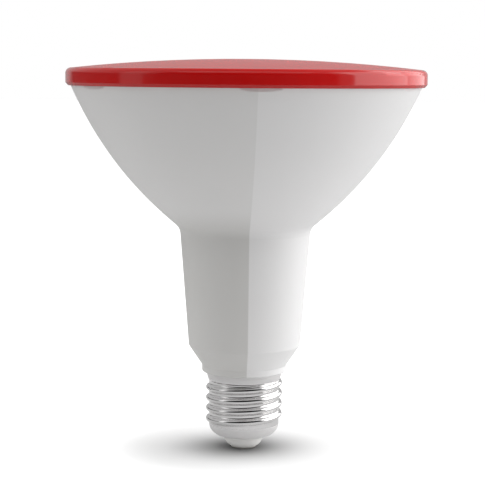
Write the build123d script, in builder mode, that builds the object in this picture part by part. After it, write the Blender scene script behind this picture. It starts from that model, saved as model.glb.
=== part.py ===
"""LED reflector lamp, PAR38 size, with an E27 screw cap.

Own frame in millimetres: the flat end of the centre contact is at the origin, +Z runs up the
lamp's axis to the lens, and -Y is the side with the middle snap pocket.
"""
import os
from math import cos, pi, radians, sin, sqrt

from build123d import *

os.makedirs("parts", exist_ok=True)

# Screw cap: E27 thread of arcs that meet at tangents, rolled in thin plated sheet
thread_pitch = 3.629
thread_crest_radius = 13.15
thread_depth = 1.1
thread_root_radius = thread_crest_radius - thread_depth
thread_arc_radius = (thread_depth ** 2 + (thread_pitch / 2) ** 2) / (4 * thread_depth)
thread_start_height = 8.21
thread_turns = 4.4
thread_run_in = 1.6
thread_run_out = 2.6
root_flat_lift = 0.05
thread_margin = 1.0
thread_foot = 0.4
shell_wall = 0.3
skirt_inset = 0.2
skirt_radius = thread_crest_radius - skirt_inset
waist_inset = 0.65
skirt_waist_radius = thread_crest_radius - waist_inset
skirt_height = 2.6
waist_rise = 0.8
dish_height = 8.65
dish_opening_radius = 7.2
dish_opening_height = 4.15
cap_length = 26.8

# Insulator and contact of the cap
insulator_gap = 0.45
insulator_base_radius = dish_opening_radius - insulator_gap
insulator_tip_radius = 4.5
insulator_tip_height = 0.45
insulator_bulge = 0.55
insulator_flange_thickness = 2.4
flange_seat_gap = 0.02
flange_seat_width = 0.8
flange_seat_radius = dish_opening_radius + flange_seat_width
flange_flare = 1.4
flange_slope_height = 0.6
flange_slope_width = 0.8
insulator_flange_radius = flange_seat_radius + flange_flare
flange_base = dish_opening_height + shell_wall + flange_seat_gap
flange_top = flange_base + insulator_flange_thickness
contact_head_inset = 0.1
contact_head_radius = insulator_tip_radius - contact_head_inset
contact_pin_radius = 1.1
contact_pin_tail = 2.7
contact_pin_length = flange_top + contact_pin_tail
contact_edge_round = 0.25
pin_clearance = 0.1

# Housing outside, from the cap upwards
collar_step = 1.6
collar_radius = skirt_radius + collar_step
collar_height = 2.2
shoulder_height = 6.9
neck_bottom_radius = 19.18
neck_top_radius = 22.37
neck_length = 40.45
rim_radius = 61.0
rim_overhang = 1.8
bowl_radius = rim_radius - rim_overhang
bowl_height = 48.1
bowl_bend_inset = 12.3
bowl_bend_radius = bowl_radius - bowl_bend_inset
bowl_bend_depth = 28.5
elbow_round = 4.5
shoulder_round = 0.8
small_edge_round = 0.3

# Housing walls and inside
neck_wall = 2.0
bowl_wall = 2.0
collar_wall = 2.2
spigot_clearance = 0.25
spigot_length = 14.5
spigot_wall = 2.2
lead_notch_width = 1.8
lead_notch_length = 6.0
lead_notch_overlap = 0.5

# Lens seat and snap fit
rim_height = 5.9
lens_wall = 2.0
lens_fit = 0.25
seat_step = 1.5
seat_ring_radius = bowl_radius - seat_step
seat_ring_gap = 0.1
seat_ring_height = rim_height - lens_wall - seat_ring_gap
seat_ring_wall = 2.4
snap_count = 6
snap_first_angle = -85.7
snap_width = 13.0
hook_reach = 0.8
hook_height = 1.3
hook_gap = 0.3
hook_root = 0.5
pocket_above = hook_height + 2 * hook_gap
pocket_gap = 0.75
pocket_depth = hook_reach - lens_fit + pocket_gap
notch_height = 1.0
notch_depth = 0.55

# Lens
rim_bevel_width = 0.9
rim_bevel_height = 1.0
rim_round = 1.9
dome_height = 3.3

# Heat spreader, pad and LED board
pan_depth = 10.0
pan_plate = 1.5
pan_skirt = 16.0
pan_wall = 1.2
pan_fit = 0.3
pad_thickness = 0.5
pad_margin = 8.0
board_edge_gap = 2.2
led_board_thickness = 1.6
lead_hole_radius = 6.0
led_inner_radius = 18.5
led_inner_count = 8
led_inner_turn = 22.5
led_outer_inset = 12.0
led_outer_count = 16
led_length = 3.5
led_width = 2.8
led_height = 0.8
led_window_radius = 1.1
led_window_depth = 0.25
screw_edge = 3.5
screw_count = 3
screw_first_angle = 30.0
screw_shank_radius = 1.45
screw_head_radius = 2.8
screw_head_height = 2.0
screw_length = 8.0
screw_fit = 0.15
screw_cross_width = 0.7
screw_cross_length = 3.0
screw_cross_depth = 1.0
boss_radius = 3.6
boss_notch_fit = 0.6

# Driver board and the slots that hold it
driver_plane = -6.0
driver_edge_gap = 0.45
driver_board_length = 56.0
driver_board_thickness = 1.6
driver_base_rise = 2.8
slot_fit = 0.2
slot_grip = 2.0
slot_rib = 1.6
slot_stop = 2.0
leg_radius = 0.3
leg_hole_fit = 0.12
leg_tail = 1.2
leg_rise = 0.5

# Through-hole pieces of the driver board: x and height above the board's lower edge
fuse_place = (-10.0, 13.0)
varistor_place = (8.0, 10.0)
film_place = (0.0, 19.0)
choke_place = (8.3, 27.6)
bulk_place = (-7.5, 29.0)
transformer_place = (1.5, 43.0)
output_place = (-11.0, 42.5)

# Half the spread of their legs
fuse_leg_spread = 6.5
film_leg_spread = 5.0
leg_spread = 2.5
output_leg_spread = 1.75

# Bodies of those pieces
fuse_body_radius = 1.9
fuse_body_length = 9.0
varistor_radius = 4.5
varistor_thickness = 3.2
varistor_lift = 1.0
film_size = (13.0, 6.0, 11.0)
choke_radius = 4.5
choke_height = 10.0
bulk_radius = 5.0
bulk_height = 16.0
output_radius = 4.0
output_height = 12.0
core_width = 16.0
core_length = 14.5
core_thickness = 5.0
core_leg = 4.0
core_side = 2.0
core_yoke = 2.0
core_glue = 0.1
bobbin_wall = 0.8
bobbin_fit = 0.15
bobbin_flange = 11.6
bobbin_rail_height = 2.6
winding_fit = 0.1
winding_round = 1.5
bobbin_rail_width = 2.6
bobbin_leg_pitch = 4.0
bobbin_leg_count = 4
choke_top_radius = 2.6
choke_top_depth = 0.6
crimp_rise = 2.0
crimp_size = 0.4
vent_width = 0.4

# Flat pieces on the solder side
controller_place = (-3.0, 42.0)
controller_size = (3.9, 4.9, 1.6)
controller_pins = 4
bridge_place = (8.0, 19.0)
bridge_size = (3.9, 4.7, 2.4)
bridge_pins = 2
diode_place = (6.5, 52.0)
diode_size = (4.3, 2.6, 2.2)
diode_pins = 1
chip_places = ((-8.0, 35.0), (-8.0, 38.0), (3.0, 41.0), (3.0, 45.0), (0.0, 14.0), (0.0, 11.0),
               (-4.0, 9.0), (-12.0, 48.0))
chip_size = (2.0, 1.25, 0.5)
package_lift = 0.15
pin_pitch = 1.27
pin_reach = 0.8
pin_width = 0.4

# Leads
lead_radius = 0.65
lead_bend = 2.0
lead_clearance = 4.8
lead_side_room = 3.0
lead_run_up = 4.0
lead_drop = 6.0
lead_hole_fit = 0.15
mains_lead_side = 5.0
mains_lead_rise = 3.5
led_lead_side = 3.0
led_lead_drop = 2.5
terminal_pitch = 4.0
terminal_size = (9.0, 6.0, 3.6)
terminal_front = 9.5
terminal_entry = 1.75
terminal_depth = 3.0
lead_arch = 5.0

# Heights up the axis that follow from the sizes above
collar_top = cap_length + collar_height
shoulder_top = collar_top + shoulder_height
neck_top = shoulder_top + neck_length
rim_base = neck_top + bowl_height
pan_top = rim_base - pan_depth
pad_top = pan_top + pad_thickness
led_board_top = pad_top + led_board_thickness
driver_face = driver_plane + driver_board_thickness / 2
driver_back = driver_plane - driver_board_thickness / 2
driver_board_base = shoulder_top + driver_base_rise
driver_top = driver_board_base + driver_board_length
spigot_radius = thread_root_radius - shell_wall - spigot_clearance
spigot_bore = spigot_radius - spigot_wall
spigot_base = cap_length - spigot_length
bend_height = rim_base - bowl_bend_depth


def bowl_radius_inside(height, wall):
    """Radius of the bowl's inside at a height, at a wall's distance from its outside."""
    shift = wall * sqrt(0.5)
    curve = rim_base - 2 * bend_height + neck_top
    slope = 2 * (bend_height - rim_base)
    start = rim_base + shift - height
    t = (-slope - sqrt(slope ** 2 - 4 * curve * start)) / (2 * curve)
    return ((1 - t) ** 2 * bowl_radius + 2 * t * (1 - t) * bowl_bend_radius
            + t ** 2 * neck_top_radius - shift)


# Radii across the bowl and the board that follow from its inside
led_board_radius = bowl_radius_inside(pad_top, bowl_wall) - board_edge_gap
screw_circle_radius = led_board_radius - screw_edge
pad_radius = led_board_radius - pad_margin
led_rings = ((led_inner_radius, led_inner_count, led_inner_turn),
             (led_board_radius - led_outer_inset, led_outer_count, 0.0))

# Width of the driver board, from the neck's inside at the board's lower edge
neck_draft = (neck_top_radius - neck_bottom_radius) / neck_length
neck_inside = neck_bottom_radius - neck_wall + driver_base_rise * neck_draft
driver_board_width = 2 * (sqrt(neck_inside ** 2 - (driver_plane - driver_board_thickness / 2) ** 2)
                          - driver_edge_gap)


def write(part, name):
    """Label a finished piece and write its file."""
    part.label = name
    export_step(part, f"parts/{name}.step")


# Screw shell

def cap_form(inset):
    """The cap's outer form, drawn in by a wall thickness: plain core, rolled thread and skirt."""
    core_radius = thread_root_radius + root_flat_lift - inset
    crest = thread_arc_radius - inset
    root = thread_arc_radius + inset
    crest_centre = thread_crest_radius - thread_arc_radius
    root_centre = thread_root_radius + thread_arc_radius
    half_pitch = thread_pitch / 2
    meet = Vector(root_centre - crest_centre, half_pitch).normalized() * crest
    flare_rise = root_centre - core_radius
    flare_width = half_pitch - sqrt(root ** 2 - flare_rise ** 2)
    flare_angle = (flare_rise / root + meet.X / crest) / 2
    flare_middle = (root_centre - root * flare_angle, half_pitch - root * sqrt(1 - flare_angle ** 2))
    foot = core_radius - thread_foot
    limit_radius = thread_crest_radius + thread_margin - inset
    waist_height = cap_length - skirt_height
    thread_end = waist_height + waist_rise
    with BuildPart() as ridge:
        with BuildLine() as path:
            Helix(thread_pitch, thread_pitch * thread_turns, crest_centre,
                  center=(0, 0, thread_start_height))
        with BuildSketch(Plane((0, 0, thread_start_height), x_dir=(1, 0, 0), z_dir=(0, -1, 0))):
            with BuildLine():
                top = ThreePointArc((crest_centre + meet.X, -meet.Y), (crest_centre + crest, 0),
                                    (crest_centre + meet.X, meet.Y))
                upper = ThreePointArc((crest_centre + meet.X, meet.Y), flare_middle,
                                      (core_radius, flare_width))
                lower = ThreePointArc((crest_centre + meet.X, -meet.Y), (flare_middle[0], -flare_middle[1]),
                                      (core_radius, -flare_width))
                Polyline((core_radius, flare_width), (foot, flare_width), (foot, -flare_width),
                         (core_radius, -flare_width))
            make_face()
        sweep(path=path.line, is_frenet=True)
        with BuildSketch(Plane.XZ):
            with BuildLine():
                Polyline((0, dish_height), (core_radius, dish_height),
                         (limit_radius, dish_height + thread_run_in),
                         (limit_radius, thread_end - thread_run_out),
                         (skirt_waist_radius - inset, thread_end), (0, thread_end), close=True)
            make_face()
        revolve(axis=Axis.Z, mode=Mode.INTERSECT)
    with BuildPart() as form:
        with BuildSketch(Plane.XZ):
            with BuildLine():
                dish = TangentArc((core_radius, dish_height),
                                  (dish_opening_radius, dish_opening_height + inset), tangent=(0, -1))
                side = Line(dish @ 0, (core_radius, waist_height - waist_rise))
                waist = Line(side @ 1, (skirt_waist_radius - inset, waist_height))
                skirt = Spline(waist @ 1, (skirt_radius - inset, cap_length), tangents=((0.5, 1), (0, 1)))
                Polyline(skirt @ 1, (0, cap_length), (0, dish_opening_height + inset), dish @ 1)
            make_face()
        revolve(axis=Axis.Z)
        add(ridge.part)
    return form.part


with BuildPart() as screw_shell:
    add(cap_form(0))
    add(cap_form(shell_wall), mode=Mode.SUBTRACT)
    with Locations((0, 0, dish_opening_height)):
        Cylinder(dish_opening_radius, 2 * shell_wall, mode=Mode.SUBTRACT)
write(screw_shell.part, "screw_shell")


# Cap insulator, with the shell's rolled-in end held between its flange and its nose

with BuildPart() as cap_insulator:
    with BuildSketch(Plane.XZ):
        with BuildLine():
            middle = ((insulator_base_radius + insulator_tip_radius) / 2 + insulator_bulge,
                      (dish_opening_height + insulator_tip_height) / 2 - insulator_bulge / 2)
            nose = ThreePointArc((insulator_tip_radius, insulator_tip_height), middle,
                                 (insulator_base_radius, dish_opening_height))
            Polyline(nose @ 1, (insulator_base_radius, flange_base),
                     (flange_seat_radius, flange_base),
                     (insulator_flange_radius, flange_top - flange_slope_height),
                     (insulator_flange_radius - flange_slope_width, flange_top), (0, flange_top),
                     (0, insulator_tip_height), nose @ 0)
        make_face()
    revolve(axis=Axis.Z)
    Cylinder(contact_pin_radius + pin_clearance, 2 * cap_length, mode=Mode.SUBTRACT)
write(cap_insulator.part, "cap_insulator")


# Centre contact: a flat head under the nose and a pin up through the insulator

with BuildPart() as centre_contact:
    Cylinder(contact_head_radius, insulator_tip_height, align=(Align.CENTER, Align.CENTER, Align.MIN))
    fillet(centre_contact.edges().group_by(Axis.Z)[0], contact_edge_round)
    Cylinder(contact_pin_radius, contact_pin_length, align=(Align.CENTER, Align.CENTER, Align.MIN))
    chamfer(centre_contact.edges().group_by(Axis.Z)[-1], contact_edge_round)
write(centre_contact.part, "centre_contact")


# Space inside the housing: bowl, neck, shoulder and spigot bore

seat_top = rim_base + seat_ring_height
seat_inner_radius = seat_ring_radius - seat_ring_wall
pan_under = pan_top - pan_plate
screw_places = [(screw_circle_radius * cos(radians(angle)), screw_circle_radius * sin(radians(angle)))
                for angle in [screw_first_angle + 360 / screw_count * i for i in range(screw_count)]]


def bowl_inside(wall):
    """The space inside the bowl, at a wall's distance from its outside."""
    shift = wall * sqrt(0.5)
    with BuildPart() as space:
        with BuildSketch(Plane.XZ):
            with BuildLine():
                Bezier((bowl_radius - shift, rim_base + shift),
                       (bowl_bend_radius - shift, bend_height + shift),
                       (neck_top_radius - shift, neck_top + shift))
                Polyline((neck_top_radius - shift, neck_top + shift), (0, neck_top + shift),
                         (0, rim_base + shift), (bowl_radius - shift, rim_base + shift))
            make_face()
        revolve(axis=Axis.Z)
    return space.part


with BuildPart() as cavity:
    add(bowl_inside(bowl_wall))
    with BuildSketch(Plane.XZ):
        joint_shift = bowl_wall * sqrt(0.5)
        with BuildLine():
            Polyline((0, 0), (spigot_bore, 0), (spigot_bore, cap_length),
                     (collar_radius - collar_wall, collar_top),
                     (neck_bottom_radius - neck_wall, shoulder_top),
                     (neck_top_radius - neck_wall, neck_top),
                     (neck_top_radius - joint_shift, neck_top + joint_shift),
                     (0, neck_top + joint_shift), close=True)
        make_face()
    revolve(axis=Axis.Z)
    with Locations((0, 0, rim_base)):
        Cylinder(seat_inner_radius, seat_ring_height, align=(Align.CENTER, Align.CENTER, Align.MIN))
    Cylinder(seat_inner_radius, 3 * seat_top, mode=Mode.INTERSECT)
    with Locations(*[(x, y, pan_under) for x, y in screw_places]):
        Cylinder(boss_radius, bowl_height, align=(Align.CENTER, Align.CENTER, Align.MAX),
                 mode=Mode.SUBTRACT)
    rib_start = driver_board_width / 2 - slot_grip
    for side in (-1, 1):
        for face, way in ((driver_back, -1), (driver_face, 1)):
            with Locations((side * rib_start, face + way * (slot_fit + slot_rib / 2), shoulder_top)):
                Box(neck_top_radius, slot_rib, neck_length, mode=Mode.SUBTRACT,
                    align=(Align.MIN if side > 0 else Align.MAX, Align.CENTER, Align.MIN))
        with Locations((side * rib_start, driver_plane, driver_board_base)):
            Box(neck_top_radius, driver_board_thickness + 2 * slot_fit + 2 * slot_rib, slot_stop,
                align=(Align.MIN if side > 0 else Align.MAX, Align.CENTER, Align.MAX),
                mode=Mode.SUBTRACT)


# Housing: moulded white shell from the cap's spigot to the lens seat

with BuildPart() as housing:
    with BuildSketch(Plane.XZ):
        with BuildLine():
            Bezier((neck_top_radius, neck_top), (bowl_bend_radius, bend_height), (bowl_radius, rim_base))
            Polyline((bowl_radius, rim_base), (seat_ring_radius, rim_base),
                     (seat_ring_radius, seat_top), (0, seat_top), (0, spigot_base),
                     (spigot_radius, spigot_base), (spigot_radius, cap_length),
                     (collar_radius, cap_length), (collar_radius, collar_top),
                     (neck_bottom_radius, shoulder_top), (neck_top_radius, neck_top))
        make_face()
    revolve(axis=Axis.Z)
    circles = housing.edges().filter_by(GeomType.CIRCLE)
    fillet(circles.filter_by_position(Axis.Z, neck_top - 0.01, neck_top + 0.01), elbow_round)
    circles = housing.edges().filter_by(GeomType.CIRCLE)
    fillet(circles.filter_by_position(Axis.Z, shoulder_top - 0.01, shoulder_top + 0.01), shoulder_round)
    collar_edge = housing.edges().filter_by(GeomType.CIRCLE).filter_by_position(
        Axis.Z, cap_length - 0.01, cap_length + 0.01).sort_by(SortBy.RADIUS)[-1]
    fillet(collar_edge, small_edge_round)
    add(cavity.part, mode=Mode.SUBTRACT)
    with PolarLocations(seat_ring_radius - pocket_depth, snap_count, start_angle=snap_first_angle):
        with Locations((0, 0, rim_base)):
            Box(rim_radius, snap_width, pocket_above, mode=Mode.SUBTRACT,
                align=(Align.MIN, Align.CENTER, Align.MIN))
    with PolarLocations(bowl_radius - notch_depth, snap_count, start_angle=snap_first_angle):
        with Locations((0, 0, rim_base)):
            Box(rim_radius, snap_width, notch_height, mode=Mode.SUBTRACT,
                align=(Align.MIN, Align.CENTER, Align.MAX))
    with Locations(*[(x, y, pan_under) for x, y in screw_places]):
        Cylinder(screw_shank_radius + screw_fit, screw_length, mode=Mode.SUBTRACT,
                 align=(Align.CENTER, Align.CENTER, Align.MAX))
    with Locations((0, spigot_bore - lead_notch_overlap, spigot_base)):
        Box(lead_notch_width, 2 * spigot_wall, lead_notch_length, mode=Mode.SUBTRACT,
            align=(Align.CENTER, Align.MIN, Align.MIN))
write(housing.part, "housing")


# Front lens: dome, rim band and the hooks that snap into the housing's pockets

dome_edge_radius = rim_radius - rim_round
dome_radius = (dome_edge_radius ** 2 + dome_height ** 2) / (2 * dome_height)
rim_top = rim_base + rim_height
dome_top = rim_top + dome_height
band_radius = seat_ring_radius + lens_fit


def dome_at(radius, wall):
    """Height of the dome, or of its underside at a wall's distance, at a radius from the axis."""
    return dome_top - dome_radius + sqrt((dome_radius - wall) ** 2 - radius ** 2)


with BuildPart() as front_lens:
    with BuildSketch(Plane.XZ):
        with BuildLine():
            ThreePointArc((dome_edge_radius, rim_top),
                          (dome_edge_radius / 2, dome_at(dome_edge_radius / 2, 0)), (0, dome_top))
            ThreePointArc((0, dome_top - lens_wall),
                          (band_radius / 2, dome_at(band_radius / 2, lens_wall)),
                          (band_radius, dome_at(band_radius, lens_wall)))
            Line((0, dome_top), (0, dome_top - lens_wall))
            Polyline((band_radius, dome_at(band_radius, lens_wall)), (band_radius, rim_base),
                     (rim_radius - rim_bevel_width, rim_base), (rim_radius, rim_base + rim_bevel_height),
                     (rim_radius, rim_top - rim_round))
            TangentArc((rim_radius, rim_top - rim_round), (dome_edge_radius, rim_top), tangent=(0, 1))
        make_face()
    revolve(axis=Axis.Z)
    with PolarLocations(band_radius - hook_reach, snap_count, start_angle=snap_first_angle):
        with Locations((0, 0, rim_base + hook_gap)):
            Box(hook_reach + hook_root, snap_width - 2 * hook_gap, hook_height,
                align=(Align.MIN, Align.CENTER, Align.MIN))
write(front_lens.part, "front_lens")


# Heat spreader: drawn pan with a flat plate and a skirt along the bowl's wall

with BuildPart() as pan_hollow:
    add(bowl_inside(bowl_wall + pan_fit + pan_wall))
    with Locations((0, 0, pan_under)):
        Cylinder(bowl_radius, bowl_height, mode=Mode.INTERSECT,
                 align=(Align.CENTER, Align.CENTER, Align.MAX))

with BuildPart() as heat_spreader:
    add(bowl_inside(bowl_wall + pan_fit))
    with Locations((0, 0, pan_top)):
        Cylinder(bowl_radius, pan_skirt, mode=Mode.INTERSECT,
                 align=(Align.CENTER, Align.CENTER, Align.MAX))
    add(pan_hollow.part, mode=Mode.SUBTRACT)
    with Locations(*[(x, y, pan_under) for x, y in screw_places]):
        Cylinder(boss_radius + boss_notch_fit, pan_skirt, mode=Mode.SUBTRACT,
                 align=(Align.CENTER, Align.CENTER, Align.MAX))
    with Locations((0, 0, pan_top)):
        Cylinder(lead_hole_radius, 3 * pan_plate, mode=Mode.SUBTRACT)
    with Locations(*[(x, y, pan_top) for x, y in screw_places]):
        Cylinder(screw_shank_radius + screw_fit, 3 * pan_plate, mode=Mode.SUBTRACT)
write(heat_spreader.part, "heat_spreader")


# Thermal pad, LED board, LED packages, screws and terminal block

with BuildPart(Plane.XY.offset(pan_top)) as thermal_pad:
    Cylinder(pad_radius, pad_thickness, align=(Align.CENTER, Align.CENTER, Align.MIN))
    Cylinder(lead_hole_radius + pad_thickness, 3 * pad_thickness, mode=Mode.SUBTRACT)
write(thermal_pad.part, "thermal_pad")

with BuildPart(Plane.XY.offset(pad_top)) as led_board:
    Cylinder(led_board_radius, led_board_thickness, align=(Align.CENTER, Align.CENTER, Align.MIN))
    Cylinder(lead_hole_radius, 3 * led_board_thickness, mode=Mode.SUBTRACT)
    with Locations(*screw_places):
        Cylinder(screw_shank_radius + screw_fit, 3 * led_board_thickness, mode=Mode.SUBTRACT)
write(led_board.part, "led_board")

with BuildPart(Plane.XY.offset(led_board_top)) as led_chips:
    for ring_radius, ring_count, ring_start in led_rings:
        with PolarLocations(ring_radius, ring_count, start_angle=ring_start):
            Box(led_width, led_length, led_height, align=(Align.CENTER, Align.CENTER, Align.MIN))
            with Locations((0, 0, led_height)):
                Cylinder(led_window_radius, 2 * led_window_depth, mode=Mode.SUBTRACT)
write(led_chips.part, "led_chips")

with BuildPart(Plane.XY.offset(led_board_top)) as board_screws:
    with Locations(*screw_places):
        Cylinder(screw_head_radius, screw_head_height, align=(Align.CENTER, Align.CENTER, Align.MIN))
        Cylinder(screw_shank_radius, screw_length, align=(Align.CENTER, Align.CENTER, Align.MAX))
        with Locations((0, 0, screw_head_height)):
            Box(screw_cross_length, screw_cross_width, 2 * screw_cross_depth, mode=Mode.SUBTRACT)
            Box(screw_cross_width, screw_cross_length, 2 * screw_cross_depth, mode=Mode.SUBTRACT)
write(board_screws.part, "board_screws")

with BuildPart(Plane.XY.offset(led_board_top)) as lead_connector:
    with Locations((0, terminal_front, 0)):
        Box(*terminal_size, align=(Align.CENTER, Align.MIN, Align.MIN))
    chamfer(lead_connector.edges().group_by(Axis.Z)[-1], small_edge_round)
    with Locations(*[(side * terminal_pitch / 2, terminal_front, terminal_entry) for side in (-1, 1)]):
        Cylinder(lead_radius + lead_hole_fit, 2 * terminal_depth, rotation=(90, 0, 0), mode=Mode.SUBTRACT)
write(lead_connector.part, "lead_connector")


# Driver board and the pieces that stand on it

def on_face(place):
    """Plane on the board's component side, with its normal away from the board and y downwards."""
    return Plane((place[0], driver_face, driver_board_base + place[1]), x_dir=(1, 0, 0), z_dir=(0, 1, 0))


def on_back(place):
    """Plane on the board's solder side, with its normal away from the board and y upwards."""
    return Plane((place[0], driver_back, driver_board_base + place[1]), x_dir=(1, 0, 0), z_dir=(0, -1, 0))


def add_legs(spots, rise):
    """Round legs at these spots, from a rise above the board's face to a tail behind the board."""
    with Locations(*[(x, y, rise) for x, y in spots]):
        Cylinder(leg_radius, rise + driver_board_thickness + leg_tail,
                 align=(Align.CENTER, Align.CENTER, Align.MAX))


def leg_holes(place, legs):
    """The board's hole centres for a piece's legs, as x and height above the board's lower edge."""
    return [(place[0] + x, place[1] - y) for x, y in legs]


window_width = core_width / 2 - core_side - core_leg / 2
window_length = core_length - 2 * core_yoke
flange_middle = (window_length - 2 * bobbin_fit - bobbin_wall) / 2
rail_middle = flange_middle + (bobbin_rail_width - bobbin_wall) / 2
leg_row = [bobbin_leg_pitch * (i - (bobbin_leg_count - 1) / 2) for i in range(bobbin_leg_count)]

fuse_legs = ((0, -fuse_leg_spread), (0, fuse_leg_spread))
film_legs = ((-film_leg_spread, 0), (film_leg_spread, 0))
varistor_legs = choke_legs = bulk_legs = ((-leg_spread, 0), (leg_spread, 0))
output_legs = ((-output_leg_spread, 0), (output_leg_spread, 0))
transformer_legs = [(x, y) for y in (-rail_middle, rail_middle) for x in leg_row]
lead_holes = [(side * mains_lead_side, mains_lead_rise) for side in (-1, 1)]
lead_holes += [(side * led_lead_side, driver_board_length - led_lead_drop) for side in (-1, 1)]
through_legs = (leg_holes(fuse_place, fuse_legs) + leg_holes(varistor_place, varistor_legs)
                + leg_holes(film_place, film_legs) + leg_holes(choke_place, choke_legs)
                + leg_holes(bulk_place, bulk_legs) + leg_holes(output_place, output_legs)
                + leg_holes(transformer_place, transformer_legs))

with BuildPart(Plane((0, driver_plane, driver_board_base), x_dir=(1, 0, 0), z_dir=(0, 0, 1))) as driver_board:
    Box(driver_board_width, driver_board_thickness, driver_board_length,
        align=(Align.CENTER, Align.CENTER, Align.MIN))
    for spots, hole_radius in ((through_legs, leg_radius + leg_hole_fit),
                               (lead_holes, lead_radius + lead_hole_fit)):
        with Locations(*[(x, 0, z) for x, z in spots]):
            Cylinder(hole_radius, 2 * driver_board_thickness, rotation=(90, 0, 0), mode=Mode.SUBTRACT)
write(driver_board.part, "driver_board")

with BuildPart(on_face(fuse_place)) as fuse_resistor:
    fuse_lift = fuse_body_radius + leg_radius
    with Locations((0, 0, fuse_lift)):
        Cylinder(fuse_body_radius, fuse_body_length, rotation=(90, 0, 0))
    fillet(fuse_resistor.edges().filter_by(GeomType.CIRCLE), leg_radius)
    with Locations((0, 0, fuse_lift)):
        Cylinder(leg_radius, fuse_legs[1][1] - fuse_legs[0][1] + 2 * leg_radius, rotation=(90, 0, 0))
    add_legs(fuse_legs, fuse_lift)
write(fuse_resistor.part, "fuse_resistor")

with BuildPart(on_face(varistor_place)) as varistor:
    with Locations((0, 0, varistor_radius + varistor_lift)):
        Cylinder(varistor_radius, varistor_thickness, rotation=(90, 0, 0))
    fillet(varistor.edges().filter_by(GeomType.CIRCLE), varistor_thickness / 3)
    add_legs(varistor_legs, varistor_radius)
write(varistor.part, "varistor")

with BuildPart(on_face(film_place)) as film_capacitor:
    Box(*film_size, align=(Align.CENTER, Align.CENTER, Align.MIN))
    fillet(film_capacitor.edges().filter_by(Plane.XZ, reverse=True), small_edge_round)
    add_legs(film_legs, leg_rise)
write(film_capacitor.part, "film_capacitor")

with BuildPart(on_face(choke_place)) as input_choke:
    Cylinder(choke_radius, choke_height, align=(Align.CENTER, Align.CENTER, Align.MIN))
    fillet(input_choke.edges().filter_by(GeomType.CIRCLE), small_edge_round)
    with BuildSketch(on_face(choke_place).offset(choke_height - choke_top_depth)):
        Circle(choke_top_radius)
    extrude(amount=choke_height, mode=Mode.SUBTRACT)
    add_legs(choke_legs, leg_rise)
write(input_choke.part, "input_choke")


def can_capacitor(place, radius, height, legs):
    """An electrolytic capacitor: can with a rounded top, a crimp groove and a cross vent."""
    with BuildPart(on_face(place)) as can:
        Cylinder(radius, height, align=(Align.CENTER, Align.CENTER, Align.MIN))
        fillet(can.faces().sort_by(Axis.Y)[-1].edges(), 2 * small_edge_round)
        with Locations((0, 0, crimp_rise)):
            Torus(radius + crimp_size / 2, crimp_size, mode=Mode.SUBTRACT)
        with Locations((0, 0, height)):
            Box(radius, vent_width, vent_width, mode=Mode.SUBTRACT)
            Box(vent_width, radius, vent_width, mode=Mode.SUBTRACT)
        add_legs(legs, leg_rise)
    return can


bulk_capacitor = can_capacitor(bulk_place, bulk_radius, bulk_height, bulk_legs)
write(bulk_capacitor.part, "bulk_capacitor")

output_capacitor = can_capacitor(output_place, output_radius, output_height, output_legs)
write(output_capacitor.part, "output_capacitor")


# Transformer: two ferrite halves, a bobbin on pin rails and its taped winding

window_middle = core_leg / 2 + window_width / 2
core_lift = bobbin_flange / 2 + small_edge_round
tube_width = core_leg + 2 * (bobbin_fit + bobbin_wall)
tube_depth = core_thickness + 2 * (bobbin_fit + bobbin_wall)
winding_length = window_length - 2 * (bobbin_fit + bobbin_wall + winding_fit)
winding_depth = bobbin_flange - 2 * winding_fit

with BuildPart(on_face(transformer_place)) as transformer_core:
    with Locations((0, 0, core_lift)):
        for way in (-1, 1):
            with Locations((0, way * (core_length + core_glue) / 4, 0)):
                Box(core_width, (core_length - core_glue) / 2, core_thickness)
        with Locations((-window_middle, 0, 0), (window_middle, 0, 0)):
            Box(window_width, window_length, 2 * core_thickness, mode=Mode.SUBTRACT)
write(transformer_core.part, "transformer_core")

with BuildPart(on_face(transformer_place)) as transformer_bobbin:
    with Locations((0, 0, core_lift)):
        Box(tube_width, window_length - 2 * bobbin_fit, tube_depth)
        with Locations((0, -flange_middle, 0), (0, flange_middle, 0)):
            Box(bobbin_flange, bobbin_wall, bobbin_flange)
        Box(core_leg + 2 * bobbin_fit, 2 * core_length, core_thickness + 2 * bobbin_fit,
            mode=Mode.SUBTRACT)
    for way in (-1, 1):
        with Locations((0, way * (flange_middle - bobbin_wall / 2), 0)):
            Box(core_width - core_side, bobbin_rail_width, bobbin_rail_height,
                align=(Align.CENTER, Align.MIN if way > 0 else Align.MAX, Align.MIN))
    add_legs(transformer_legs, leg_rise)
write(transformer_bobbin.part, "transformer_bobbin")

with BuildPart(on_face(transformer_place)) as transformer_winding:
    with Locations((0, 0, core_lift)):
        Box(bobbin_flange - 2 * winding_fit, winding_length, winding_depth)
        fillet(transformer_winding.edges().filter_by(Axis.Z), winding_round)
        Box(tube_width + 2 * winding_fit, 2 * core_length, tube_depth + 2 * winding_fit,
            mode=Mode.SUBTRACT)
write(transformer_winding.part, "transformer_winding")


# Surface-mounted pieces on the solder side

def flat_package(place, size, pins):
    """A moulded package with a row of flat pins along two sides."""
    width, length, height = size
    with BuildPart(on_back(place)) as package:
        with Locations((0, 0, package_lift)):
            Box(width, length, height - package_lift, align=(Align.CENTER, Align.CENTER, Align.MIN))
        chamfer(package.faces().sort_by(Axis.Y)[0].edges(), package_lift)
        with GridLocations(width + pin_reach, pin_pitch, 2, pins):
            Box(2 * pin_reach, pin_width, 2 * package_lift, align=(Align.CENTER, Align.CENTER, Align.MIN))
    return package


controller_chip = flat_package(controller_place, controller_size, controller_pins)
write(controller_chip.part, "controller_chip")

bridge_rectifier = flat_package(bridge_place, bridge_size, bridge_pins)
write(bridge_rectifier.part, "bridge_rectifier")

power_diode = flat_package(diode_place, diode_size, diode_pins)
write(power_diode.part, "power_diode")

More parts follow.
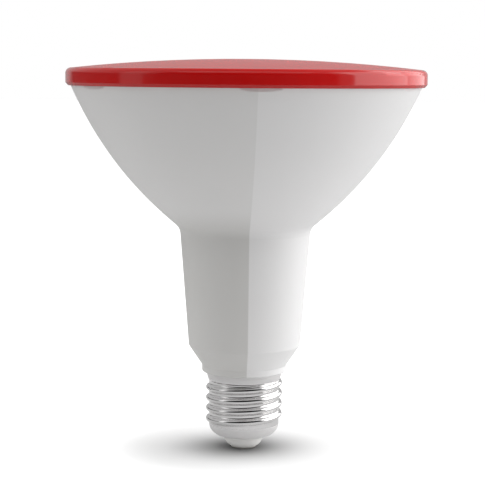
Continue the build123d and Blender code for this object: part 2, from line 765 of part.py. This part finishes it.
with BuildPart() as chip_resistors:
    with Locations(*[on_back(place).location for place in chip_places]):
        Box(*chip_size, align=(Align.CENTER, Align.CENTER, Align.MIN))
write(chip_resistors.part, "chip_resistors")


# Leads, as straight runs joined by tangent arcs

def lead(name, points):
    """A round insulated lead along a route of straight runs and arcs."""
    with BuildPart() as wire:
        with BuildLine() as route:
            FilletPolyline(*points, radius=lead_bend)
        with BuildSketch(Plane(route.line @ 0, z_dir=route.line % 0)):
            Circle(lead_radius)
        sweep(path=route.line)
    length = sum(edge.length for edge in route.edges())
    print(name, "bend radius", lead_bend, "length", round(length, 1),
          "volume over section times length",
          round(wire.part.volume / (length * pi * lead_radius ** 2), 3))
    write(wire.part, name)


mains_lead_height = driver_board_base + mains_lead_rise
led_lead_height = driver_top - led_lead_drop
lead_start = driver_back - leg_tail
lead_turn = driver_face + lead_clearance
bore_route = spigot_bore - lead_side_room
lead_notch_middle = spigot_base + lead_notch_length / 2
shell_inside = thread_root_radius - shell_wall
arch_height = led_board_top + lead_arch

lead("live_lead", [(-mains_lead_side, lead_start, mains_lead_height),
                   (-mains_lead_side, lead_turn, mains_lead_height),
                   (-mains_lead_side / 2, lead_turn, cap_length),
                   (0, 0, contact_pin_length + 2 * lead_run_up), (0, 0, contact_pin_length)])
lead("neutral_lead", [(mains_lead_side, lead_start, mains_lead_height),
                      (mains_lead_side, lead_turn, mains_lead_height),
                      (mains_lead_side, bore_route / 2, collar_top),
                      (0, bore_route, cap_length - lead_run_up),
                      (0, bore_route, lead_notch_middle), (0, shell_inside, lead_notch_middle)])
for name, side in (("led_lead_positive", 1), ("led_lead_negative", -1)):
    across = side * terminal_pitch / 2
    lead(name, [(side * led_lead_side, lead_start, led_lead_height),
                (side * led_lead_side, lead_turn, led_lead_height),
                (across, 0, pan_under - lead_drop), (across, 0, arch_height),
                (across, terminal_front / 2, arch_height),
                (across, terminal_front - lead_side_room, led_board_top + terminal_entry),
                (across, terminal_front + terminal_depth, led_board_top + terminal_entry)])
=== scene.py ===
"""LED reflector lamp with a red lens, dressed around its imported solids."""

from math import cos, exp, pi, radians, sin, sqrt

import bpy
from mathutils import Matrix, Vector


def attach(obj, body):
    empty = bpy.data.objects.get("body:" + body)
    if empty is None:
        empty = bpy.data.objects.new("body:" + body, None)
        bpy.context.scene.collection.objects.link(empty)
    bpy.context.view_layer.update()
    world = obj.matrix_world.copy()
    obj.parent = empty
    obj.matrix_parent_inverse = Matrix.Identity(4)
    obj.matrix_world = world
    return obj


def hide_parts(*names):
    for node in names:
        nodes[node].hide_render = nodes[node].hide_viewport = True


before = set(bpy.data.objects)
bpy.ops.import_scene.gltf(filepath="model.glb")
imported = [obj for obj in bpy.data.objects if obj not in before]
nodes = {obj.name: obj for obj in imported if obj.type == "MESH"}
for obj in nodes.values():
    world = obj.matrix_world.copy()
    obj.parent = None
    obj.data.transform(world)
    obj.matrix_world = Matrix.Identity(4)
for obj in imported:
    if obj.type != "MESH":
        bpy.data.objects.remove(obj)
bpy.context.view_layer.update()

MM = 0.001
IMAGE_WIDTH = 485

# Camera nearest to the photograph's, in metres
CAMERA_PLACE = (-0.0009, -0.51997, 0.12949)
CAMERA_PITCH = radians(6.402)
CAMERA_ROLL = radians(0.45)
FOCAL_PIXELS = 1526.0
SENSOR_WIDTH = 36

# Screw shell, in millimetres
PITCH = 3.629
CREST_RADIUS = 13.15
ROOT_RADIUS = 12.05
CORE_RADIUS = 12.10
THREAD_START = 8.21
THREAD_TURNS = 4.4
THREAD_BLEND = 0.12
DISH_TOP = 8.65
DISH_OPENING = (7.2, 4.15)
RUN_IN = 1.6
RUN_OUT = 2.6
THREAD_LIMIT_RADIUS = 14.15
WAIST_HEIGHT = 24.2
WAIST_RADIUS = 12.5
WAIST_RISE = 0.8
SKIRT_RADIUS = 12.95
CAP_LENGTH = 26.8
SHELL_WALL = 0.3
SHELL_SIDES = 384
DIMPLE_ANGLE = -151.0
DIMPLE_HEIGHT = 21.6
DIMPLE_SIZE = 0.55
DIMPLE_DEPTH = 0.3
DIMPLE_CUT_OFF = 6
DISH_STEPS = 28
SIDE_STEPS = 158
WAIST_STEPS = 10
SKIRT_STEPS = 14
INNER_STEPS = 13

# Screw shell's satin ends, as heights in metres
SATIN_LOW = (0.0080, 0.0088)
SATIN_HIGH = (0.0240, 0.0245)

# Lens
DOME_EDGE = (0.0590, 0.0575)
DOME_ROUGHNESS = 0.24

# Housing: its parting line, with painted shade that darkens the left of it and the lower part
SEAM_ANGLE = 3.4
SEAM_HALF_WIDTH = 0.00012
# Heights in metres over which the painted shade on the lower part fades out
PAINTED_SHADE_FADE_LOW = 0.0745
PAINTED_SHADE_FADE_HIGH = 0.086

# Floor: a painted shadow, darkened around the lamp for the camera alone; lengths from the axis in metres
FLOOR_REACH = 6.0
PAINTED_SHADOW_DARKEST = 0.05
PAINTED_SHADOW_RADIUS = 0.035
PAINTED_SHADOW_POWER = 1.1
FLOOR_NEAR = 0.85
# Painted shade for the lamp's pieces: the floor's colour falls to this far off, and is darker again in
# reflections
FLOOR_FAR_PAINTED_SHADE = 0.42
FLOOR_PAINTED_SHADE_FALL = (0.06, 0.30)
FLOOR_MIRRORED_PAINTED_SHADE = 0.62
FLOOR_GLOW = 0.30
GLOW_RISE = (0.030, 0.055)

# Room light: what glossy surfaces see, and the even light that falls on matt ones
ROOM_FRONT = 0.02
ROOM_LEFT_LOW = 0.11
ROOM_LEFT = 0.50
ROOM_BACK = 0.50
ROOM_ABOVE = 0.22
EVEN_FRONT = 0.03
EVEN_LEFT = 1.6
EVEN_RIGHT = 1.25
EVEN_BACK = 0.50
EVEN_ABOVE = 1.25

# Where each part of the room begins and is reached in full, along a direction's X, Y or Z
LEFT_WALL_X = (-0.1, -0.3)
LEFT_WALL_Y = (0.85, 0.77)
LEFT_WALL_Z = (0.12, 0.22)
BEHIND_FRONT_Y = (-0.56, -0.50)
CEILING_Z = (0.88, 0.93)
EVEN_BACK_Y = (-0.6, -0.4)
EVEN_LEFT_X = (-0.6, -0.8)
EVEN_RIGHT_X = (0.3, 0.6)
EVEN_ABOVE_Z = (0.6, 0.7)

# Soft lights: azimuth, elevation, distance, width, height, radiance and the nodes that it alone lights
LAMP_AIM = 70
SOFTBOXES = {
    "softbox_right": (92.5, 18, 0.9, 0.86, 1.1, 2.15),
    "softbox_back": (133, 18, 0.9, 0.48, 1.1, 1.35),
    "softbox_left": (-73, 15, 0.9, 0.28, 0.9, 0.45),
    "softbox_rim": (0, 50, 1.2, 1.6, 0.6, 0.75, ("front_lens",)),
}


def set_up_camera():
    """The camera nearest to the photograph's, looking slightly down across the rim."""
    data = bpy.data.cameras.new("camera")
    data.sensor_width = SENSOR_WIDTH
    data.lens = FOCAL_PIXELS / IMAGE_WIDTH * SENSOR_WIDTH
    data.clip_start = 0.01
    camera = bpy.data.objects.new("camera", data)
    camera.matrix_world = (Matrix.Translation(CAMERA_PLACE)
                           @ Matrix.Rotation(pi / 2 - CAMERA_PITCH, 4, "X")
                           @ Matrix.Rotation(CAMERA_ROLL, 4, "Z"))
    bpy.context.scene.collection.objects.link(camera)
    bpy.context.scene.camera = camera


# Material helpers

def new_material(name):
    """An empty node material with its Principled shader joined to the output."""
    material = bpy.data.materials.new(name)
    material.use_nodes = True
    tree = material.node_tree
    tree.nodes.clear()
    shader = tree.nodes.new("ShaderNodeBsdfPrincipled")
    output = tree.nodes.new("ShaderNodeOutputMaterial")
    tree.links.new(shader.outputs["BSDF"], output.inputs["Surface"])
    return material, tree, shader


def add(tree, kind, inputs=None, **settings):
    """A node with its settings and socket values; a socket value may be another node's output."""
    node = tree.nodes.new(kind)
    for key, value in settings.items():
        setattr(node, key, value)
    for key, value in (inputs or {}).items():
        if isinstance(value, bpy.types.NodeSocket):
            tree.links.new(value, node.inputs[key])
        else:
            node.inputs[key].default_value = value
    return node


def noise(tree, scale, detail=2.0, roughness=0.5, stretch=(1, 1, 1)):
    """Noise over the object's own coordinates, in metres; scale is turns per metre."""
    place = add(tree, "ShaderNodeTexCoord")
    spread = add(tree, "ShaderNodeMapping", {"Vector": place.outputs["Object"], "Scale": stretch})
    texture = add(tree, "ShaderNodeTexNoise", {"Vector": spread.outputs["Vector"], "Scale": scale,
                                               "Detail": detail, "Roughness": roughness})
    return texture.outputs["Fac"]


def ramp(tree, value, start, end, low=0.0, high=1.0, smooth=False):
    """A value mapped from one range onto another, held at the ends."""
    node = add(tree, "ShaderNodeMapRange", {"Value": value, "From Min": start, "From Max": end,
                                            "To Min": low, "To Max": high},
               interpolation_type="SMOOTHSTEP" if smooth else "LINEAR")
    return node.outputs["Result"]


def calculate(tree, operation, first, second):
    """One arithmetic step."""
    return add(tree, "ShaderNodeMath", {0: first, 1: second}, operation=operation).outputs["Value"]


def mix_colour(tree, factor, first, second):
    """Two colours mixed by a factor."""
    node = add(tree, "ShaderNodeMix", data_type="RGBA")
    for socket, value in ((node.inputs[0], factor), (node.inputs[6], first), (node.inputs[7], second)):
        if isinstance(value, bpy.types.NodeSocket):
            tree.links.new(value, socket)
        else:
            socket.default_value = value
    return node.outputs[2]


def blend(tree, factor, first, second):
    """Two values mixed by a factor."""
    node = add(tree, "ShaderNodeMix", data_type="FLOAT")
    for socket, value in ((node.inputs[0], factor), (node.inputs[2], first), (node.inputs[3], second)):
        if isinstance(value, bpy.types.NodeSocket):
            tree.links.new(value, socket)
        else:
            socket.default_value = value
    return node.outputs[0]


def bump(tree, shader, height, depth, strength=1.0):
    """A bump of a real depth in metres, joined to the shader's normal."""
    node = add(tree, "ShaderNodeBump", {"Height": height, "Distance": depth, "Strength": strength})
    tree.links.new(node.outputs["Normal"], shader.inputs["Normal"])
    return node


def object_axes(tree):
    """The object's own X, Y and Z, as separate values."""
    place = add(tree, "ShaderNodeTexCoord")
    return add(tree, "ShaderNodeSeparateXYZ", {"Vector": place.outputs["Object"]}).outputs


def from_axis(tree):
    """Distance from the lamp's axis, in metres."""
    x, y, z = object_axes(tree)
    return calculate(tree, "SQRT", calculate(tree, "ADD", calculate(tree, "MULTIPLY", x, x),
                                             calculate(tree, "MULTIPLY", y, y)), 0.0)


def plain(name, colour, shade, roughness, metallic=0.0, grain=2500, depth=0.00002, variation=0.08):
    """Moulded, coated or plain metal finish: colour that varies a little, fine grain in the surface."""
    material, tree, shader = new_material(name)
    shader.inputs["Metallic"].default_value = metallic
    cloud = noise(tree, 60, 3)
    tree.links.new(mix_colour(tree, cloud, colour, shade), shader.inputs["Base Color"])
    tree.links.new(ramp(tree, noise(tree, grain / 4, 3), 0.35, 0.65, roughness * (1 - variation),
                        roughness * (1 + variation)), shader.inputs["Roughness"])
    bump(tree, shader, noise(tree, grain, 2), depth)
    return material


def lens_material():
    """Red translucent moulded plastic, smooth on the band and lightly frosted on the dome."""
    material, tree, shader = new_material("lens_red")
    cloud = noise(tree, 45, 3)
    dome = ramp(tree, from_axis(tree), *DOME_EDGE)
    tree.links.new(mix_colour(tree, cloud, (0.40, 0.0034, 0.0032, 1), (0.43, 0.0042, 0.0039, 1)),
                   shader.inputs["Base Color"])
    shader.inputs["Subsurface Weight"].default_value = 0.15
    shader.inputs["Subsurface Radius"].default_value = (1.0, 0.05, 0.03)
    shader.inputs["Subsurface Scale"].default_value = 0.002
    smooth = ramp(tree, noise(tree, 300, 2), 0.35, 0.65, 0.09, 0.13)
    tree.links.new(blend(tree, dome, smooth, DOME_ROUGHNESS), shader.inputs["Roughness"])
    bump(tree, shader, noise(tree, 160, 2), 0.00001)
    return material


def housing_material():
    """White moulded plastic with a fine eroded grain, and painted shade: a step to a darker tone left of its
    parting line, and darker below about 75 mm, fading out by 86 mm.
    """
    material, tree, shader = new_material("housing_white")
    x, y, z = object_axes(tree)
    seam = radians(SEAM_ANGLE)
    across = calculate(tree, "ADD", calculate(tree, "MULTIPLY", x, cos(seam)),
                       calculate(tree, "MULTIPLY", y, sin(seam)))
    # painted shade: left of the parting line darker than the right
    painted_side_step = ramp(tree, across, -SEAM_HALF_WIDTH, SEAM_HALF_WIDTH)
    cloud = noise(tree, 35, 3)
    # painted shade: darker low down, fading out between the two heights; left and high carry this painted
    # shade too
    high = ramp(tree, z, PAINTED_SHADE_FADE_LOW, PAINTED_SHADE_FADE_HIGH, smooth=True)
    painted_shade_left_low = mix_colour(tree, cloud, (0.515, 0.51, 0.50, 1), (0.535, 0.53, 0.515, 1))
    painted_shade_left_high = mix_colour(tree, cloud, (0.625, 0.62, 0.615, 1), (0.645, 0.64, 0.635, 1))
    left = mix_colour(tree, high, painted_shade_left_low, painted_shade_left_high)
    painted_lit_right_low = mix_colour(tree, cloud, (0.66, 0.655, 0.655, 1), (0.68, 0.675, 0.675, 1))
    painted_lit_right_high = mix_colour(tree, cloud, (0.68, 0.675, 0.675, 1), (0.70, 0.695, 0.695, 1))
    painted_lit_right = mix_colour(tree, high, painted_lit_right_low, painted_lit_right_high)
    tree.links.new(mix_colour(tree, painted_side_step, left, painted_lit_right), shader.inputs["Base Color"])
    tree.links.new(ramp(tree, noise(tree, 900, 3), 0.35, 0.65, 0.42, 0.52), shader.inputs["Roughness"])
    bump(tree, shader, noise(tree, 3200, 3, 0.6), 0.000025)
    return material


def shell_material():
    """Bright plated thread that turns satin on the plain skirt and on the rolled-in end."""
    material, tree, shader = new_material("shell_plated")
    cloud = noise(tree, 120, 3)
    x, y, z = object_axes(tree)
    low = ramp(tree, z, *SATIN_LOW, 1.0, 0.0)
    high = ramp(tree, z, *SATIN_HIGH)
    ends = calculate(tree, "MAXIMUM", low, high)
    bright = mix_colour(tree, cloud, (0.80, 0.79, 0.79, 1), (0.86, 0.85, 0.85, 1))
    satin = mix_colour(tree, cloud, (0.70, 0.69, 0.69, 1), (0.73, 0.72, 0.72, 1))
    tree.links.new(mix_colour(tree, ends, bright, satin), shader.inputs["Base Color"])
    tree.links.new(ramp(tree, ends, 0.0, 1.0, 1.0, 0.6), shader.inputs["Metallic"])
    tree.links.new(ramp(tree, ends, 0.0, 1.0, 0.05, 0.5), shader.inputs["Roughness"])
    bump(tree, shader, noise(tree, 900, 3), 0.000003)
    return material


def dress_nodes():
    """Each carried-over solid gets its own finish."""
    finishes = {
        "front_lens": lens_material(),
        "housing": housing_material(),
        "screw_shell": shell_material(),
        "cap_insulator": plain("insulator_white", (0.66, 0.655, 0.64, 1), (0.63, 0.625, 0.61, 1), 0.35),
        "centre_contact": plain("contact_metal", (0.62, 0.60, 0.56, 1), (0.5, 0.48, 0.44, 1), 0.32, 1.0),
        "heat_spreader": plain("pan_aluminium", (0.70, 0.71, 0.73, 1), (0.62, 0.63, 0.65, 1), 0.35, 1.0),
        "thermal_pad": plain("pad_grey", (0.30, 0.33, 0.37, 1), (0.26, 0.29, 0.33, 1), 0.8),
        "led_board": plain("led_board_white", (0.80, 0.80, 0.78, 1), (0.75, 0.75, 0.73, 1), 0.4),
        "led_chips": plain("led_resin", (0.80, 0.60, 0.16, 1), (0.75, 0.55, 0.13, 1), 0.25),
        "board_screws": plain("screw_steel", (0.62, 0.62, 0.64, 1), (0.55, 0.55, 0.57, 1), 0.3, 1.0),
        "lead_connector": plain("terminal_white", (0.78, 0.78, 0.75, 1), (0.73, 0.73, 0.7, 1), 0.45),
        "led_lead_positive": plain("wire_red", (0.45, 0.01, 0.01, 1), (0.40, 0.01, 0.01, 1), 0.45),
        "led_lead_negative": plain("wire_black", (0.02, 0.02, 0.02, 1), (0.03, 0.03, 0.03, 1), 0.45),
        "live_lead": plain("wire_brown", (0.12, 0.04, 0.015, 1), (0.10, 0.035, 0.012, 1), 0.45),
        "neutral_lead": plain("wire_blue", (0.01, 0.05, 0.35, 1), (0.01, 0.04, 0.30, 1), 0.45),
        "driver_board": plain("board_green", (0.02, 0.13, 0.04, 1), (0.02, 0.10, 0.03, 1), 0.4),
        "transformer_core": plain("ferrite_grey", (0.05, 0.05, 0.055, 1), (0.03, 0.03, 0.035, 1), 0.5),
        "transformer_bobbin": plain("bobbin_black", (0.02, 0.02, 0.02, 1), (0.03, 0.03, 0.03, 1), 0.5),
        "transformer_winding": plain("winding_tape", (0.70, 0.48, 0.02, 1), (0.62, 0.42, 0.02, 1), 0.35),
        "bulk_capacitor": plain("can_black", (0.02, 0.02, 0.03, 1), (0.03, 0.03, 0.04, 1), 0.3),
        "output_capacitor": plain("can_green", (0.01, 0.08, 0.05, 1), (0.01, 0.06, 0.04, 1), 0.3),
        "film_capacitor": plain("film_box_yellow", (0.62, 0.42, 0.03, 1), (0.55, 0.38, 0.03, 1), 0.35),
        "input_choke": plain("choke_black", (0.03, 0.03, 0.03, 1), (0.02, 0.02, 0.02, 1), 0.55),
        "fuse_resistor": plain("resistor_green", (0.10, 0.27, 0.18, 1), (0.08, 0.23, 0.15, 1), 0.5),
        "varistor": plain("varistor_blue", (0.02, 0.08, 0.35, 1), (0.02, 0.06, 0.30, 1), 0.3),
        "bridge_rectifier": plain("package_black", (0.03, 0.03, 0.03, 1), (0.02, 0.02, 0.02, 1), 0.5),
        "chip_resistors": plain("chip_dark", (0.05, 0.05, 0.06, 1), (0.04, 0.04, 0.05, 1), 0.4),
    }
    finishes["controller_chip"] = finishes["bridge_rectifier"]
    finishes["power_diode"] = finishes["bridge_rectifier"]
    for name, node in nodes.items():
        node.data.materials.clear()
        node.data.materials.append(finishes[name])
    return finishes


# Screw shell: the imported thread, drawn finely so that its plating mirrors cleanly

def smooth_step(value):
    """Zero to one with level ends."""
    value = min(1.0, max(0.0, value))
    return value * value * (3 - 2 * value)


def thread_radius(angle, height):
    """Radius of the rolled thread at an angle and a height; the core's radius where there is none."""
    arc = ((CREST_RADIUS - ROOT_RADIUS) ** 2 + (PITCH / 2) ** 2) / (4 * (CREST_RADIUS - ROOT_RADIUS))
    crest_centre = CREST_RADIUS - arc
    root_centre = ROOT_RADIUS + arc
    meet = arc * (PITCH / 2) / sqrt((root_centre - crest_centre) ** 2 + (PITCH / 2) ** 2)
    turn = (height - THREAD_START) / PITCH - angle / (2 * pi)
    nearest = round(turn)
    along = angle / (2 * pi) + nearest
    offset = abs(turn - nearest) * PITCH
    if offset <= meet:
        radius = crest_centre + sqrt(arc ** 2 - offset ** 2)
    else:
        radius = root_centre - sqrt(arc ** 2 - (PITCH / 2 - offset) ** 2)
    fade = smooth_step(along / THREAD_BLEND) * smooth_step((THREAD_TURNS - along) / THREAD_BLEND)
    run_in = CORE_RADIUS + (THREAD_LIMIT_RADIUS - CORE_RADIUS) * (height - DISH_TOP) / RUN_IN
    thread_end = WAIST_HEIGHT + WAIST_RISE
    run_out = WAIST_RADIUS + (THREAD_LIMIT_RADIUS - WAIST_RADIUS) * (thread_end - height) / RUN_OUT
    radius = min(CORE_RADIUS + max(0.0, radius - CORE_RADIUS) * fade, run_in, run_out)
    return max(CORE_RADIUS, radius)


def shell_profile():
    """Base radius and height of each ring of the shell's outside, from the opening up to the collar."""
    drop = DISH_TOP - DISH_OPENING[1]
    inward = CORE_RADIUS - DISH_OPENING[0]
    dish_arc = (inward ** 2 + drop ** 2) / (2 * inward)
    centre = CORE_RADIUS - dish_arc
    last = pi / 2 + (centre - DISH_OPENING[0]) / dish_arc
    rings = []
    for step in range(DISH_STEPS):
        turn = last * (1 - step / DISH_STEPS)
        rings.append((centre + dish_arc * cos(turn), DISH_TOP - dish_arc * sin(turn)))
    side_top = WAIST_HEIGHT - WAIST_RISE
    for step in range(SIDE_STEPS):
        rings.append((CORE_RADIUS, DISH_TOP + (side_top - DISH_TOP) * step / SIDE_STEPS))
    for step in range(WAIST_STEPS):
        part = step / WAIST_STEPS
        rings.append((CORE_RADIUS + (WAIST_RADIUS - CORE_RADIUS) * smooth_step(part),
                      side_top + WAIST_RISE * part))
    for step in range(SKIRT_STEPS + 1):
        part = step / SKIRT_STEPS
        rings.append((WAIST_RADIUS + (SKIRT_RADIUS - WAIST_RADIUS) * (1 - (1 - part) ** 2),
                      WAIST_HEIGHT + (CAP_LENGTH - WAIST_HEIGHT) * part))
    return rings


def add_shell(finish):
    """Outside with thread and centre-punched stake mark, and a plain inside one wall further in."""
    rings = shell_profile()
    dimple = radians(DIMPLE_ANGLE)
    vertices, faces = [], []
    for base, height in rings:
        for side in range(SHELL_SIDES):
            angle = 2 * pi * side / SHELL_SIDES
            radius = base
            if height >= DISH_TOP:
                radius = max(base, thread_radius(angle, height))
            apart = (angle - dimple + pi) % (2 * pi) - pi
            reach = ((apart * CREST_RADIUS) ** 2 + (height - DIMPLE_HEIGHT) ** 2) / DIMPLE_SIZE ** 2
            if reach < DIMPLE_CUT_OFF:
                radius -= DIMPLE_DEPTH * exp(-reach)
            vertices.append((radius * cos(angle) * MM, radius * sin(angle) * MM, height * MM))
    inner = [(rings[-1][0] - SHELL_WALL, CAP_LENGTH), (WAIST_RADIUS - SHELL_WALL, WAIST_HEIGHT),
             (ROOT_RADIUS - SHELL_WALL, WAIST_HEIGHT - WAIST_RISE),
             (ROOT_RADIUS - SHELL_WALL, DISH_TOP)]
    for step in range(1, INNER_STEPS):
        part = step / INNER_STEPS
        base, height = rings[round((1 - part) * DISH_STEPS)]
        inner.append((base - SHELL_WALL * (1 - part), height + SHELL_WALL * part))
    inner.append((rings[0][0], rings[0][1] + SHELL_WALL))
    for radius, height in inner:
        for side in range(SHELL_SIDES):
            angle = 2 * pi * side / SHELL_SIDES
            vertices.append((radius * cos(angle) * MM, radius * sin(angle) * MM, height * MM))
    count = len(rings) + len(inner)
    for ring in range(count):
        above = (ring + 1) % count
        for side in range(SHELL_SIDES):
            beside = (side + 1) % SHELL_SIDES
            faces.append((ring * SHELL_SIDES + side, ring * SHELL_SIDES + beside,
                          above * SHELL_SIDES + beside, above * SHELL_SIDES + side))
    mesh = bpy.data.meshes.new("screw_shell_fine")
    mesh.from_pydata(vertices, [], faces)
    mesh.shade_smooth()
    corner_rings = {0, len(rings) - 1, len(rings), count - 1}
    sharp = mesh.attributes.new("sharp_edge", "BOOLEAN", "EDGE")
    for edge in mesh.edges:
        first, second = edge.vertices
        if first // SHELL_SIDES == second // SHELL_SIDES and first // SHELL_SIDES in corner_rings:
            sharp.data[edge.index].value = True
    mesh.materials.append(finish)
    piece = bpy.data.objects.new("screw_shell_fine", mesh)
    bpy.context.scene.collection.objects.link(piece)
    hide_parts("screw_shell")
    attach(piece, "root")


# Ground, lamps and world

def add_floor():
    """Pale ground with a real shadow; the camera also sees a painted shadow under the lamp and white far off,
    and the pieces see painted shade, darker far off.
    """
    mesh = bpy.data.meshes.new("floor")
    reach = FLOOR_REACH
    mesh.from_pydata([(-reach, -reach, 0), (reach, -reach, 0), (reach, reach, 0), (-reach, reach, 0)],
                     [], [(0, 1, 2, 3)])
    floor = bpy.data.objects.new("floor", mesh)
    bpy.context.scene.collection.objects.link(floor)
    material, tree, shader = new_material("floor_white")
    shader.inputs["Roughness"].default_value = 0.9
    shader.inputs["Specular IOR Level"].default_value = 0.1
    away = from_axis(tree)
    # painted shadow: darkest at the axis, the floor's full colour from the radius outwards
    part = calculate(tree, "MINIMUM", calculate(tree, "DIVIDE", away, PAINTED_SHADOW_RADIUS), 1.0)
    turn = calculate(tree, "MULTIPLY", calculate(tree, "POWER", part, PAINTED_SHADOW_POWER), pi / 2)
    painted_shadow = ramp(tree, calculate(tree, "SINE", turn, 0.0), 0.0, 1.0, PAINTED_SHADOW_DARKEST, 1.0)
    light_path = add(tree, "ShaderNodeLightPath").outputs
    # painted shade: the floor is darker far off for the light it sends to the pieces, and darker again in
    # reflections
    sent_with_painted_shade = ramp(tree, away, *FLOOR_PAINTED_SHADE_FALL, FLOOR_NEAR, FLOOR_FAR_PAINTED_SHADE)
    sent_with_painted_shade = blend(tree, light_path["Is Glossy Ray"], sent_with_painted_shade, calculate(tree, "MULTIPLY", sent_with_painted_shade, FLOOR_MIRRORED_PAINTED_SHADE))
    shown = calculate(tree, "MULTIPLY", painted_shadow, FLOOR_NEAR)
    grey = blend(tree, light_path["Is Camera Ray"], sent_with_painted_shade, shown)
    tree.links.new(add(tree, "ShaderNodeCombineColor", {0: grey, 1: grey, 2: grey}).outputs["Color"],
                   shader.inputs["Base Color"])
    glow = calculate(tree, "MULTIPLY", ramp(tree, away, *GLOW_RISE, 0.0, FLOOR_GLOW, True),
                     light_path["Is Camera Ray"])
    shader.inputs["Emission Color"].default_value = (1, 1, 1, 1)
    tree.links.new(glow, shader.inputs["Emission Strength"])
    mesh.materials.append(material)


def add_softbox(name, azimuth, elevation, distance, width, height, radiance, lit=()):
    """A rectangular soft light aimed at the lamp's middle, for all pieces or for those named.

    The azimuth counts from the camera's side towards +X."""
    data = bpy.data.lights.new(name, "AREA")
    data.shape = "RECTANGLE"
    data.size = width
    data.size_y = height
    data.energy = radiance * pi * width * height
    lamp = bpy.data.objects.new(name, data)
    turn = radians(azimuth) - pi / 2
    rise = radians(elevation)
    target = Vector((0, 0, LAMP_AIM * MM))
    place = target + distance * Vector((cos(turn) * cos(rise), sin(turn) * cos(rise), sin(rise)))
    lamp.matrix_world = (target - place).to_track_quat("-Z", "Y").to_matrix().to_4x4()
    lamp.matrix_world.translation = place
    bpy.context.scene.collection.objects.link(lamp)
    if lit:
        lamp.light_linking.receiver_collection = bpy.data.collections.new(name)
        for piece in lit:
            lamp.light_linking.receiver_collection.objects.link(nodes[piece])


def set_up_world():
    """Soft light for matt surfaces, another room for glossy ones, dark in front, and white for the camera."""
    world = bpy.data.worlds.new("studio")
    bpy.context.scene.world = world
    world.use_nodes = True
    tree = world.node_tree
    tree.nodes.clear()
    place = add(tree, "ShaderNodeTexCoord")
    x, y, z = add(tree, "ShaderNodeSeparateXYZ", {"Vector": place.outputs["Generated"]}).outputs
    left = calculate(tree, "MULTIPLY", ramp(tree, x, *LEFT_WALL_X), ramp(tree, y, *LEFT_WALL_Y))
    left_wall = blend(tree, ramp(tree, z, *LEFT_WALL_Z), ROOM_LEFT_LOW, ROOM_LEFT)
    walls = blend(tree, left, ROOM_BACK, left_wall)
    walls = blend(tree, ramp(tree, y, *BEHIND_FRONT_Y), ROOM_FRONT, walls)
    seen = blend(tree, ramp(tree, z, *CEILING_Z), walls, ROOM_ABOVE)
    even = blend(tree, ramp(tree, y, *EVEN_BACK_Y), EVEN_FRONT, EVEN_BACK)
    even = blend(tree, ramp(tree, x, *EVEN_LEFT_X), even, EVEN_LEFT)
    even = blend(tree, ramp(tree, x, *EVEN_RIGHT_X), even, EVEN_RIGHT)
    even = blend(tree, ramp(tree, z, *EVEN_ABOVE_Z), even, EVEN_ABOVE)
    light_path = add(tree, "ShaderNodeLightPath").outputs
    room = blend(tree, light_path["Is Glossy Ray"], even, seen)
    strength = blend(tree, light_path["Is Camera Ray"], room, 1.0)
    background = add(tree, "ShaderNodeBackground", {"Color": (1, 1, 1, 1), "Strength": strength})
    output = add(tree, "ShaderNodeOutputWorld")
    tree.links.new(background.outputs["Background"], output.inputs["Surface"])


set_up_camera()
finishes = dress_nodes()
add_shell(finishes["screw_shell"])
add_floor()
set_up_world()
for name, settings in SOFTBOXES.items():
    add_softbox(name, *settings)

bpy.context.scene.view_settings.view_transform = "Standard"
